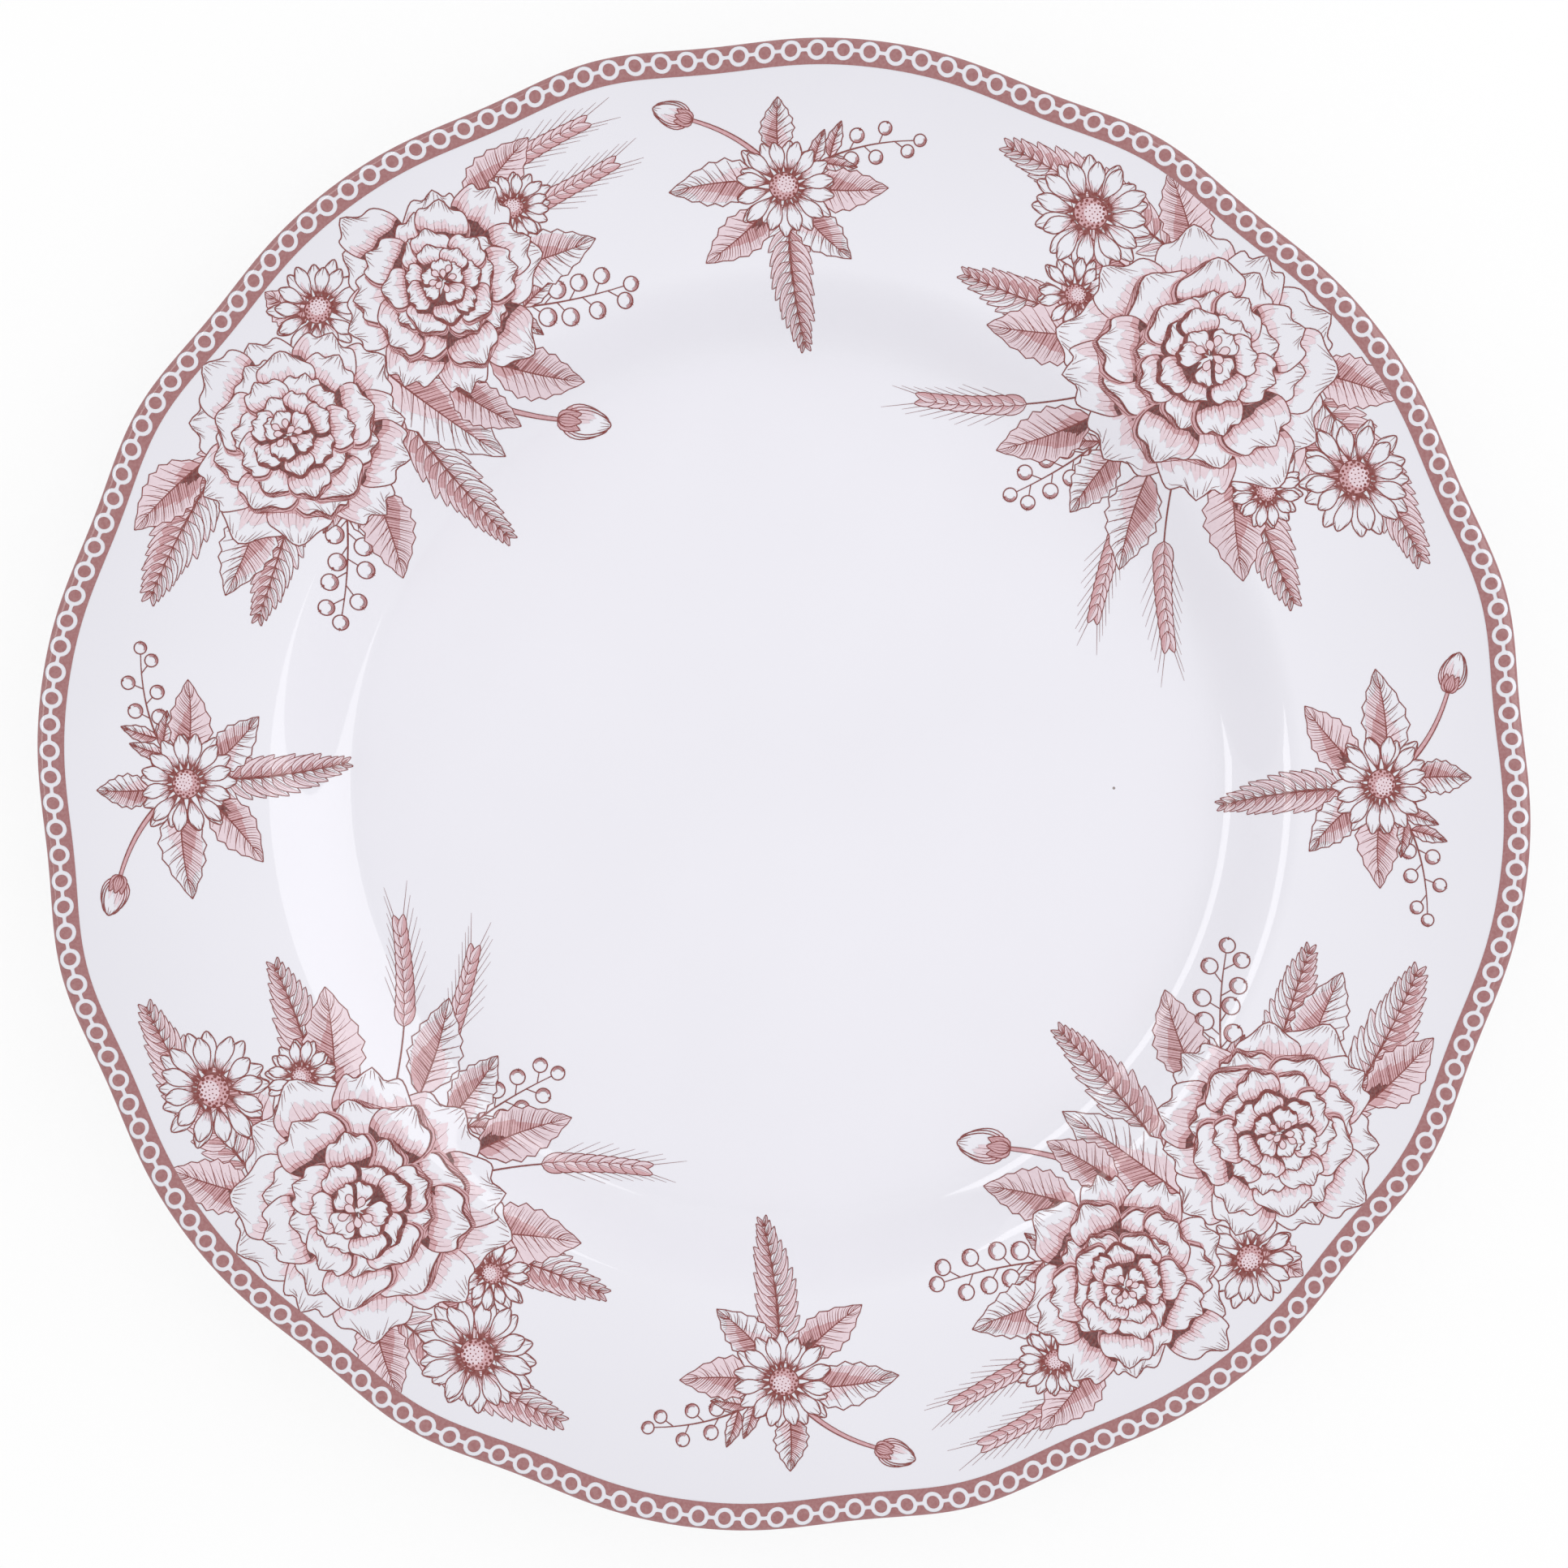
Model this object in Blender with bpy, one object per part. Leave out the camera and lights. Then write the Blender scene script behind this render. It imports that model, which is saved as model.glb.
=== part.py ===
"""Dinner plate in glazed china, with a scalloped rim, a foot ring and a printed decoration.

Metres, +Z up. The origin is the middle of the foot ring on the surface the plate stands on,
and the printed side looks along +Z.
"""

import math

import bmesh
import bpy

# Rim and its scallops: eight broad scallops with a narrow one between each pair
RIM_RADIUS = 0.1356
SCALLOP_REPEATS = 8
SCALLOP_TURN = math.radians(37.3)
BROAD_WAVE = 0.00039
NARROW_WAVE = 0.00066
POINT_WAVE = 0.00022

# Face, from the flat well over the curved shoulder to the sloping rim
WELL_RADIUS = 0.0790
SHOULDER_RADIUS = 0.0950
WELL_LEVEL = 0.0076
SHOULDER_RISE = 0.0110
RIM_SLOPE = 0.115

# Thickness of the finished china
LIP_THICKNESS = 0.0036
WALL_THICKNESS = 0.0044

# Foot ring, bare clay underneath
FOOT_RADIUS = 0.0805
FOOT_WIDTH = 0.0058
FOOT_FLARE = 0.0012
BASE_RECESS = 0.0030
DRY_EDGE = 0.0009

# Glaze coats and printed films
GLAZE_THICKNESS = 0.0003
GLAZE_GAP = 0.0003
PRINT_THICKNESS = 0.0002
PRINT_GAP = 0.0003

# Border band: how far its two edges lie inside the lip
BAND_WIDTH = 0.0051
BAND_LIP_ANGLE = math.radians(45)
BAND_CLEARANCE = 0.0008

# Rim sprays and the sprigs between them, measured along and across the rim
SPRAY_COUNT = 4
SPRAY_TURN = math.radians(45)
SPRAY_HALF_LENGTH = 0.0520
SPRAY_IN_WELL = 0.0080
SPRIG_HALF_LENGTH = 0.0185
PRINT_CENTRE_RADIUS = 0.1130
CUT_MARGIN = 0.0008
LOBE_DEPTH = 0.05
SPRAY_LOBES = 12
SPRIG_LOBES = 8

# Facets
TURN_STEPS = 80
SHOULDER_STEPS = 6
RIM_STEPS = 2
LIP_STEPS = 6
BASE_STEPS = 40
LOBE_FACETS = 7


def scallop(angle):
    """How far the lip stands out from its mean radius at this angle."""
    turn = SCALLOP_REPEATS * (angle - SCALLOP_TURN)
    wave = BROAD_WAVE * math.cos(turn)
    wave += NARROW_WAVE * math.cos(2 * turn)
    wave -= POINT_WAVE * math.cos(3 * turn)
    return wave


def scallop_share(radius):
    """The scallops fade out from the lip to the top of the shoulder."""
    t = (radius - SHOULDER_RADIUS) / (RIM_RADIUS - SHOULDER_RADIUS)
    t = min(1.0, max(0.0, t))
    return t * t * (3 - 2 * t)


def placed(radius, height, angle):
    """A profile point turned to an angle about the plate's axis."""
    r = radius + scallop_share(radius) * scallop(angle)
    return (r * math.cos(angle), r * math.sin(angle), height)


def shoulder_point(t):
    """A point of the shoulder's curve, level at the well and sloping like the rim at its top."""
    width = SHOULDER_RADIUS - WELL_RADIUS
    rise = SHOULDER_RISE * (3 * t * t - 2 * t ** 3)
    rise += width * RIM_SLOPE * (t ** 3 - t * t)
    return (WELL_RADIUS + width * t, WELL_LEVEL + rise)


def shoulder_normal(t):
    """The unit vector out of the face at a point of the shoulder."""
    width = SHOULDER_RADIUS - WELL_RADIUS
    slope = SHOULDER_RISE * (6 * t - 6 * t * t) / width
    slope += RIM_SLOPE * (3 * t * t - 2 * t)
    length = math.hypot(slope, 1)
    return (-slope / length, 1 / length)


RIM_ANGLE = math.atan(RIM_SLOPE)
RIM_NORMAL = (-math.sin(RIM_ANGLE), math.cos(RIM_ANGLE))
LIP_RADIUS = LIP_THICKNESS / 2
LIP_CENTRE = (
    RIM_RADIUS - LIP_RADIUS,
    WELL_LEVEL
    + SHOULDER_RISE
    + RIM_SLOPE * (RIM_RADIUS - LIP_RADIUS - SHOULDER_RADIUS)
    - LIP_RADIUS / math.cos(RIM_ANGLE),
)


def rim_point(radius):
    """A point of the sloping rim."""
    return (radius, WELL_LEVEL + SHOULDER_RISE + RIM_SLOPE * (radius - SHOULDER_RADIUS))


LIP_START = LIP_CENTRE[0] + LIP_RADIUS * RIM_NORMAL[0]
FILM_OUTER_RADIUS = RIM_RADIUS - BAND_WIDTH - BAND_CLEARANCE
SPRAY_INNER_RADIUS = WELL_RADIUS - SPRAY_IN_WELL
SPRIG_INNER_RADIUS = (WELL_RADIUS + SHOULDER_RADIUS) / 2


def lip_station(angle):
    """A station of the rounded lip, at an angle from its outermost point, with its normal."""
    normal = (math.cos(angle + RIM_ANGLE), math.sin(angle + RIM_ANGLE))
    at = (LIP_CENTRE[0] + LIP_RADIUS * normal[0], LIP_CENTRE[1] + LIP_RADIUS * normal[1])
    return (at, normal)


def face_station(radius):
    """The point of the face at a radius, with its normal."""
    if radius <= WELL_RADIUS:
        return ((radius, WELL_LEVEL), (0.0, 1.0))
    if radius >= SHOULDER_RADIUS:
        return (rim_point(radius), RIM_NORMAL)
    t = (radius - WELL_RADIUS) / (SHOULDER_RADIUS - WELL_RADIUS)
    return (shoulder_point(t), shoulder_normal(t))


def face_radii():
    """The radii of the face's facets, from the middle of the well to the start of the lip."""
    radii = [0.0]
    for i in range(SHOULDER_STEPS + 1):
        radii.append(WELL_RADIUS + (SHOULDER_RADIUS - WELL_RADIUS) * i / SHOULDER_STEPS)
    for i in range(1, RIM_STEPS):
        radii.append(SHOULDER_RADIUS + (LIP_START - SHOULDER_RADIUS) * i / RIM_STEPS)
    return radii


def back_stations():
    """Points and normals of the back from the lip inwards to the dry edge of the foot ring."""
    stations = []
    back_normal = (-RIM_NORMAL[0], -RIM_NORMAL[1])
    for i in range(1, RIM_STEPS + 1):
        t = i / RIM_STEPS
        radius = LIP_START + (SHOULDER_RADIUS - LIP_START) * t
        thick = LIP_THICKNESS + (WALL_THICKNESS - LIP_THICKNESS) * t
        at = rim_point(radius)
        point = (at[0] - thick * RIM_NORMAL[0], at[1] - thick * RIM_NORMAL[1])
        stations.append((point, back_normal))
    foot_top = FOOT_RADIUS + FOOT_FLARE + GLAZE_THICKNESS + GLAZE_GAP
    for i in range(SHOULDER_STEPS - 1, 0, -1):
        t = i / SHOULDER_STEPS
        at = shoulder_point(t)
        normal = shoulder_normal(t)
        point = (at[0] - WALL_THICKNESS * normal[0], at[1] - WALL_THICKNESS * normal[1])
        if point[0] > foot_top + GLAZE_THICKNESS + GLAZE_GAP:
            stations.append((point, (-normal[0], -normal[1])))
    side = (BASE_RECESS - DRY_EDGE, -FOOT_FLARE)
    length = math.hypot(side[0], side[1])
    side = (side[0] / length, side[1] / length)
    corner = (side[0], side[1] - 1)
    stations.append(((foot_top, BASE_RECESS), corner))
    stations.append(((foot_top - FOOT_FLARE, DRY_EDGE), side))
    return stations


def base_stations():
    """Points and normals of the recess inside the foot ring, from its dry edge to the middle."""
    inner = FOOT_RADIUS - FOOT_WIDTH - GLAZE_THICKNESS - GLAZE_GAP
    side = (-1.0, 0.0)
    down = (0.0, -1.0)
    return [
        ((inner, DRY_EDGE), side),
        ((inner - FOOT_FLARE / 2, BASE_RECESS), (-1.0, -1.0)),
        ((0.0, BASE_RECESS), down),
    ]


def sunk(stations, depth):
    """The stations' points moved into the china by a depth."""
    return [(p[0] - depth * n[0], p[1] - depth * n[1]) for p, n in stations]


def turned(profile, steps, closed):
    """A mesh made by turning a profile about the plate's axis.

    A closed profile makes a ring. An open one starts and ends on the axis.
    """
    mesh = bmesh.new()
    rows = []
    for radius, height in profile:
        if radius == 0.0:
            rows.append([mesh.verts.new((0.0, 0.0, height))] * steps)
            continue
        row = []
        for k in range(steps):
            angle = SCALLOP_TURN + 2 * math.pi * k / steps
            row.append(mesh.verts.new(placed(radius, height, angle)))
        rows.append(row)
    pairs = list(zip(rows, rows[1:]))
    if closed:
        pairs.append((rows[-1], rows[0]))
    for low, high in pairs:
        for k in range(steps):
            n = (k + 1) % steps
            corners = []
            for corner in (low[k], low[n], high[n], high[k]):
                if corner not in corners:
                    corners.append(corner)
            mesh.faces.new(corners)
    bmesh.ops.recalc_face_normals(mesh, faces=mesh.faces)
    return mesh


def material(name, colour, roughness):
    """A china surface of one colour."""
    made = bpy.data.materials.new(name)
    made.use_nodes = True
    surface = made.node_tree.nodes["Principled BSDF"]
    surface.inputs["Base Color"].default_value = (*colour, 1.0)
    surface.inputs["Roughness"].default_value = roughness
    surface.inputs["Metallic"].default_value = 0.0
    made.diffuse_color = (*colour, 1.0)
    return made


def shown(name, mesh, surface):
    """A named object holding a mesh, shaded smooth."""
    data = bpy.data.meshes.new(name)
    mesh.to_mesh(data)
    mesh.free()
    for face in data.polygons:
        face.use_smooth = True
    data.materials.append(surface)
    made = bpy.data.objects.new(name, data)
    bpy.context.scene.collection.objects.link(made)
    return made


def print_ring(inner_radius):
    """The film that prints on the face are cut from, as a ring outside a radius."""
    radii = [r for r in face_radii() if inner_radius < r < FILM_OUTER_RADIUS]
    radii = [inner_radius] + radii + [FILM_OUTER_RADIUS]
    stations = [face_station(r) for r in radii]
    low = sunk(stations, -PRINT_GAP)
    high = sunk(stations, -PRINT_GAP - PRINT_THICKNESS)
    return turned(low + high[::-1], TURN_STEPS, True)


def print_outline(half_length, inner_radius, lobes):
    """The cut edge of a print: a round of soft lobes about its middle, along and across the rim."""
    outward = FILM_OUTER_RADIUS - CUT_MARGIN - PRINT_CENTRE_RADIUS
    inward = PRINT_CENTRE_RADIUS - inner_radius
    points = []
    for i in range(lobes * LOBE_FACETS):
        turn = 2 * math.pi * i / (lobes * LOBE_FACETS)
        swell = 1 - LOBE_DEPTH + LOBE_DEPTH * math.cos(lobes * turn)
        across = math.sin(turn)
        across *= outward if across > 0 else inward
        points.append((half_length * math.cos(turn) * swell, across * swell))
    return points


def cut_print(name, angle, outline, inner_radius, surface):
    """One printed film, cut out of the face film by its outline."""
    film = shown(name, print_ring(inner_radius - CUT_MARGIN), surface)
    block = bmesh.new()
    floor = []
    roof = []
    for u, v in outline:
        turn = angle - u / PRINT_CENTRE_RADIUS
        radius = PRINT_CENTRE_RADIUS + v
        at = (radius * math.cos(turn), radius * math.sin(turn))
        floor.append(block.verts.new((at[0], at[1], 0.0)))
        roof.append(block.verts.new((at[0], at[1], 2 * LIP_CENTRE[1])))
    block.faces.new(floor[::-1])
    block.faces.new(roof)
    for i in range(len(outline)):
        n = (i + 1) % len(outline)
        block.faces.new((floor[i], floor[n], roof[n], roof[i]))
    bmesh.ops.recalc_face_normals(block, faces=block.faces)
    cutter = shown(name + "_cutter", block, surface)
    cutter.hide_render = True
    cutter.display_type = "WIRE"
    cut = film.modifiers.new("cut", "BOOLEAN")
    cut.operation = "INTERSECT"
    cut.solver = "EXACT"
    cut.object = cutter
    return film


for old in list(bpy.data.objects):
    bpy.data.objects.remove(old, do_unlink=True)

china = material("china", (0.80, 0.78, 0.76), 0.60)
face_coat = material("outer_glaze", (0.83, 0.82, 0.88), 0.12)
base_coat = material("base_glaze", (0.82, 0.81, 0.87), 0.15)
band_ink = material("border_print", (0.37, 0.15, 0.15), 0.20)
spray_ink = material("spray_print", (0.60, 0.37, 0.38), 0.20)
sprig_ink = material("sprig_print", (0.66, 0.45, 0.46), 0.20)

lip = [lip_station(math.pi / 2 - math.pi * i / LIP_STEPS) for i in range(LIP_STEPS + 1)]
face = [face_station(radius) for radius in face_radii()]
coat = face + lip + back_stations()
base = base_stations()
body_depth = GLAZE_THICKNESS + GLAZE_GAP

# Body: rim, shoulder, well and foot ring pressed in one piece
foot_edge = sunk(coat, body_depth)[-1]
base_edge = sunk(base, body_depth)[0]
foot = [(foot_edge[0], 0.0), (base_edge[0], 0.0)]
body = sunk(coat, body_depth) + foot + sunk(base, body_depth)
shown("porcelain_body", turned(body, TURN_STEPS, False), china)

# Outer glaze: the face, over the lip and down the back to the foot ring
outer = sunk(coat, 0.0) + sunk(coat, GLAZE_THICKNESS)[::-1]
shown("outer_glaze", turned(outer, TURN_STEPS, False), face_coat)

# Base glaze: the recess inside the foot ring
recess = sunk(base, 0.0)[::-1] + sunk(base, GLAZE_THICKNESS)
shown("base_glaze", turned(recess, BASE_STEPS, False), base_coat)

# Border print: a band on the edge of the rim, over the top of the lip
band_lip = math.pi / 2 - BAND_LIP_ANGLE
band = [face_station(RIM_RADIUS - BAND_WIDTH)]
band += [s for s in lip if math.atan2(s[1][1], s[1][0]) - RIM_ANGLE > band_lip]
band.append(lip_station(band_lip))
band_low = sunk(band, -PRINT_GAP)
band_high = sunk(band, -PRINT_GAP - PRINT_THICKNESS)
shown("border_print", turned(band_low + band_high[::-1], TURN_STEPS, True), band_ink)

# Sprays on the rim that reach into the well, with a sprig down to mid-shoulder between each pair
spray_edge = print_outline(SPRAY_HALF_LENGTH, SPRAY_INNER_RADIUS, SPRAY_LOBES)
sprig_edge = print_outline(SPRIG_HALF_LENGTH, SPRIG_INNER_RADIUS, SPRIG_LOBES)
for k in range(SPRAY_COUNT):
    angle = SPRAY_TURN + 2 * math.pi * k / SPRAY_COUNT
    cut_print("spray_print_%d" % (k + 1), angle, spray_edge, SPRAY_INNER_RADIUS, spray_ink)
    angle += math.pi / SPRAY_COUNT
    cut_print("sprig_print_%d" % (k + 1), angle, sprig_edge, SPRIG_INNER_RADIUS, sprig_ink)
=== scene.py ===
"""Looks of the china dinner plate: glazed body, chain border and printed sprays, seen from above.

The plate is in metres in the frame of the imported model. The prints are drawn flat in millimetres,
as layered shapes, then cut into one sheet with no overlaps and laid on the glaze.
"""

import math

import bpy
import numpy as np
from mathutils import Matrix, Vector
from mathutils.bvhtree import BVHTree
from mathutils.geometry import delaunay_2d_cdt


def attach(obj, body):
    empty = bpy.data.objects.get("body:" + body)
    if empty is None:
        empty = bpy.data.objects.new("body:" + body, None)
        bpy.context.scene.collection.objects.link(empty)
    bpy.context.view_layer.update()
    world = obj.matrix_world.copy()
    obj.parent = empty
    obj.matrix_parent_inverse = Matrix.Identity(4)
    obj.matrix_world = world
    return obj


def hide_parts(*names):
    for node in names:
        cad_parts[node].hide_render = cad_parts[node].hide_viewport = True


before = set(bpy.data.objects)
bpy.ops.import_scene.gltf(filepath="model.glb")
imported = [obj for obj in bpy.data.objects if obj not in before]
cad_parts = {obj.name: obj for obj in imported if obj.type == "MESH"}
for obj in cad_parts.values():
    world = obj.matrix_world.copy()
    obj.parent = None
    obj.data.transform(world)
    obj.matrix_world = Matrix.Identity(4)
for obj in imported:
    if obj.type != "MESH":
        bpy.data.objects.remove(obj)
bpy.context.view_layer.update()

# Plate, as in the part's source
RIM_RADIUS = 0.1356
SCALLOP_REPEATS = 8
SCALLOP_TURN = math.radians(37.3)
BROAD_WAVE = 0.00039
NARROW_WAVE = 0.00066
POINT_WAVE = 0.00022
WELL_RADIUS = 0.0790
SHOULDER_RADIUS = 0.0950
WELL_LEVEL = 0.0076
SHOULDER_RISE = 0.0110
RIM_SLOPE = 0.115
LIP_THICKNESS = 0.0036
WALL_THICKNESS = 0.0044
FOOT_RADIUS = 0.0805
FOOT_WIDTH = 0.0058
FOOT_FLARE = 0.0012
BASE_RECESS = 0.0030
DRY_EDGE = 0.0009

RIM_ANGLE = math.atan(RIM_SLOPE)
LIP_RADIUS = LIP_THICKNESS / 2
LIP_MIDDLE = RIM_RADIUS - LIP_RADIUS
RIM_LEVEL = WELL_LEVEL + SHOULDER_RISE
LIP_LEVEL = RIM_LEVEL + RIM_SLOPE * (LIP_MIDDLE - SHOULDER_RADIUS) - LIP_RADIUS / math.cos(RIM_ANGLE)
LIP_START = LIP_MIDDLE - LIP_RADIUS * math.sin(RIM_ANGLE)

# Skins: the coat is the part's glaze with the gap under it, the rest shapes the back and the foot
COAT = 0.0006
BACK_MARGIN = 0.0020
BACK_SPACING = 0.0015
FILLET_OUT = 0.0002
FILLET_UP = 0.0004
FOOT_CHAMFER = 0.0005
RECESS_BEND = 0.0012
BODY_CLEARANCE = 0.00003

# Fineness of the turned surfaces
TURN_STEPS = 384
SHOULDER_STEPS = 30
RIM_STEPS = 24
LIP_STEPS = 18
BACK_STEPS = 5
CURVE_STEPS = 4
BEND_STEPS = 7
WELL_STATIONS = [0.0, 0.02, 0.04, 0.06, 0.074]
RECESS_STATIONS = [0.05, 0.02, 0.0]
SKIN_SLOPE_STEP = 0.00001
PRINT_SLOPE_STEP = 0.00002

# Chain border
RING_COUNT = 176
BAND_OUTER_INSET = 0.00025
BAND_WIDTH = 0.0051
CHAIN_INSET = 0.00245
RING_OUTER = 0.00189
RING_INNER = 0.00115
LINK_HALF = 0.00032
BAND_STEPS = 18
OUTER_ROWS = 4
INNER_ROWS = 2
RING_CORNERS = 24

# Prints: their lift off the glaze in metres, and the share of the texture left free round each
PRINT_LIFT = 0.00006
MAP_MARGIN = 0.01

# Drawings, with lengths in millimetres
MM_PER_M = 1000
PRINT_RADIUS = 113.0
BAND_GAP = 0.03
SPRAY_COUNT = 4
SPRAY_CROP = 64
SPRIG_CROP = 34
CROP_REACH = 32
CROP_STEPS = 90
BARE, PALE, MID, DEEP, LINE = range(5)
NIB = 0.86
LEAST_LENGTH = 1e-9
LEAST_TURN = 1e-7

# Cutting of the drawings: extra points lie on circles, given as first radius, last radius and step
SNAP = 1e-5
COVER_CORNERS = 14
WHOLE_HULL, INSIDE_SHAPES = range(2)
SHOULDER_GUIDES = (78.0, 97.0, 0.75)
WELL_GUIDES = (64.0, 78.0, 3.0)
RIM_GUIDES = (97.0, 131.0, 3.0)
GUIDE_SPACING = 2.6
GUIDE_SKEW = 0.37

# Stroke widths from the start of a stroke to its end, before the nib
PETAL_LONG = (0.19, 0.15, 0.04)
PETAL_SHORT = (0.17, 0.14, 0.04)
PETAL_TIP = (0.13, 0.11, 0.03)
PETAL_EDGE = (0.20, 0.25, 0.29, 0.25, 0.20)
SHADE_HATCH = (0.19, 0.18, 0.16)
SEED_EDGE = (0.18, 0.20, 0.18)
DISC_EDGE = (0.30, 0.26, 0.30)
LEAF_HATCH = (0.15, 0.13, 0.05)
LEAF_HATCH_FINE = (0.14, 0.11, 0.04)
LEAF_VEIN = (0.24, 0.18, 0.10)
LEAF_SPINE = (0.42, 0.30, 0.16)
LEAF_EDGE = (0.24, 0.26, 0.20)
STEM_LIGHT_EDGE = (0.22, 0.16)
STEM_HEAVY_EDGE = (0.34, 0.22)
FROND_HATCH = (0.12, 0.10, 0.03)
FROND_VEIN = (0.18, 0.14, 0.06)
FROND_EDGE = (0.17, 0.20, 0.17)
FROND_SPINE = (0.55, 0.36, 0.14)
TWIG = (0.50, 0.34, 0.20)
STALK = (0.24, 0.20)
BERRY_HATCH = (0.05, 0.15, 0.05)
BERRY_EDGE = (0.24, 0.28, 0.24)
CROWN_LINE = (0.26, 0.08)
SEPAL_HATCH = (0.20, 0.14, 0.05)
SEPAL_EDGE = (0.22, 0.26, 0.22)
EAR_STALK = (0.40, 0.30, 0.18)
BEARD = (0.13, 0.11, 0.05)
GRAIN_CREASE = (0.14, 0.06)
GRAIN_EDGE = (0.18, 0.22, 0.18)

# Tiers of the large flower: petals, inner end, outer end and width as shares of its radius
DAHLIA_TIERS = (
    (11, 0.22, 1.00, 0.60),
    (10, 0.16, 0.76, 0.50),
    (9, 0.10, 0.55, 0.38),
    (7, 0.06, 0.37, 0.29),
    (5, 0.02, 0.22, 0.20),
)

# Colours, and for each ink how far its stipple departs from its colour
GLAZE_COLOUR = (0.848, 0.838, 0.898)
SPECK_COLOUR = (0.30, 0.25, 0.24, 1)
BISQUE_COLOUR = (0.80, 0.77, 0.73)
BAND_INK = ("band_ink", (0.352, 0.143, 0.146), 0.05)
DRAWING_INKS = (
    ("pale_ink", (0.79, 0.635, 0.69), 0.04),
    ("mid_ink", (0.63, 0.36, 0.39), 0.06),
    ("deep_ink", (0.125, 0.016, 0.016), 0.06),
    ("line_ink", (0.215, 0.026, 0.022), 0.06),
)

# Glaze: where the painted shade that darkens it towards the lip starts, the tone of that painted shade at
# the lip, its gloss and its few specks
PAINTED_SHADE_START = 0.0090
LIP_SHADE_TONE = 0.93
GLOSS_INDEX = 1.5
SPECK_CELLS = 26
SPECK_SIZE = 0.007
SPECK_SHARE = 0.12

# Stage
FLOOR_HALF = 4.0
FLOOR_LEVEL = -0.0003
FLOOR_COLOUR = (0.96, 0.96, 0.96, 1)
FLOOR_ROUGHNESS = 0.9
FLOOR_GLOW = 0.8
WORLD_LIGHT = 0.95
SENSOR_WIDTH = 36
LENS = 100
FRAME_WIDTH = 0.2849


# Surface of the face


def scallop(angle):
    """How far the lip stands out from its mean radius at these angles."""
    turn = SCALLOP_REPEATS * (angle - SCALLOP_TURN)
    return BROAD_WAVE * np.cos(turn) + NARROW_WAVE * np.cos(2 * turn) - POINT_WAVE * np.cos(3 * turn)


def scallop_share(radius):
    """The scallops fade out from the lip to the top of the shoulder."""
    t = np.clip((radius - SHOULDER_RADIUS) / (RIM_RADIUS - SHOULDER_RADIUS), 0, 1)
    return t * t * (3 - 2 * t)


def face_height(radius):
    """Height of the glazed face at profile radii."""
    t = np.clip((radius - WELL_RADIUS) / (SHOULDER_RADIUS - WELL_RADIUS), 0, 1)
    rise = SHOULDER_RISE * (3 * t**2 - 2 * t**3)
    rise = rise + (SHOULDER_RADIUS - WELL_RADIUS) * RIM_SLOPE * (t**3 - t**2)
    rise = rise + RIM_SLOPE * np.maximum(radius - SHOULDER_RADIUS, 0)
    over = np.clip(radius - LIP_MIDDLE, -LIP_RADIUS, LIP_RADIUS)
    rounded = LIP_LEVEL + np.sqrt(LIP_RADIUS**2 - over**2)
    return np.where(radius > LIP_START, rounded, WELL_LEVEL + rise)


def face_slope(radius, step):
    """Slope of the glazed face at profile radii, taken over a short step to each side."""
    return (face_height(radius + step) - face_height(radius - step)) / (2 * step)


def on_face(radius, angle, lift):
    """Points of the face at profile radii and angles, lifted off it along its normal."""
    slope = face_slope(radius, PRINT_SLOPE_STEP)
    length = np.hypot(slope, 1)
    flat = radius + scallop_share(radius) * scallop(angle) - lift * slope / length
    height = face_height(radius) + lift / length
    return np.stack([flat * np.cos(angle), flat * np.sin(angle), height], axis=-1)


def laid(points, lift):
    """Flat points in millimetres laid on the face."""
    x, y = points[:, 0] / MM_PER_M, points[:, 1] / MM_PER_M
    flat, angle = np.hypot(x, y), np.arctan2(y, x)
    radius = flat - scallop_share(flat) * scallop(angle)
    return on_face(radius, angle, lift)


# Objects


def placed(name, data):
    """A new object in the scene."""
    made = bpy.data.objects.new(name, data)
    bpy.context.scene.collection.objects.link(made)
    return made


def add_object(name, points, faces, materials, indices=None, flat_map=False):
    """A smooth mesh object riding on the plate."""
    data = bpy.data.meshes.new(name)
    data.from_pydata([tuple(p) for p in points], [], faces)
    for made in materials:
        data.materials.append(made)
    data.polygons.foreach_set("use_smooth", [True] * len(data.polygons))
    if indices is not None:
        data.polygons.foreach_set("material_index", indices)
    if flat_map:
        layer = data.uv_layers.new(name="OFBake")
        corners = np.empty(len(data.loops), dtype=np.int32)
        data.loops.foreach_get("vertex_index", corners)
        at = points[corners, :2]
        low, size = at.min(axis=0), np.ptp(at, axis=0).max()
        places = MAP_MARGIN + (1 - 2 * MAP_MARGIN) * (at - low) / size
        layer.data.foreach_set("uv", places.ravel())
    data.validate()
    data.update()
    made = placed(name, data)
    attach(made, "root")
    return made


def faces_between(rows):
    """Faces between neighbours in a list of rows of points, each of which closes on itself."""
    faces = []
    for low, high in zip(rows, rows[1:]):
        for k in range(len(low)):
            n = (k + 1) % len(low)
            faces.append(tuple(dict.fromkeys((low[k], high[k], high[n], low[n]))))
    return faces


def turned(name, profile, surface):
    """A closed skin made by turning a profile that starts and ends on the axis."""
    angles = SCALLOP_TURN + 2 * np.pi * np.arange(TURN_STEPS) / TURN_STEPS
    points, rows = [], []
    for radius, height in profile:
        if radius <= 0:
            rows.append([len(points)] * TURN_STEPS)
            points.append((0.0, 0.0, height))
            continue
        rows.append(range(len(points), len(points) + TURN_STEPS))
        flat = radius + scallop_share(radius) * scallop(angles)
        points.extend(zip(flat * np.cos(angles), flat * np.sin(angles), [height] * TURN_STEPS))
    return add_object(name, points, faces_between(rows), [surface])


# Profiles of the plate


def left_of(path):
    """Unit vectors to the left of a path at each of its points."""
    along = np.gradient(path, axis=0)
    size = np.linalg.norm(along, axis=1)
    along /= np.maximum(size, LEAST_LENGTH)[:, None]
    return np.stack([-along[:, 1], along[:, 0]], axis=1)


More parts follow.
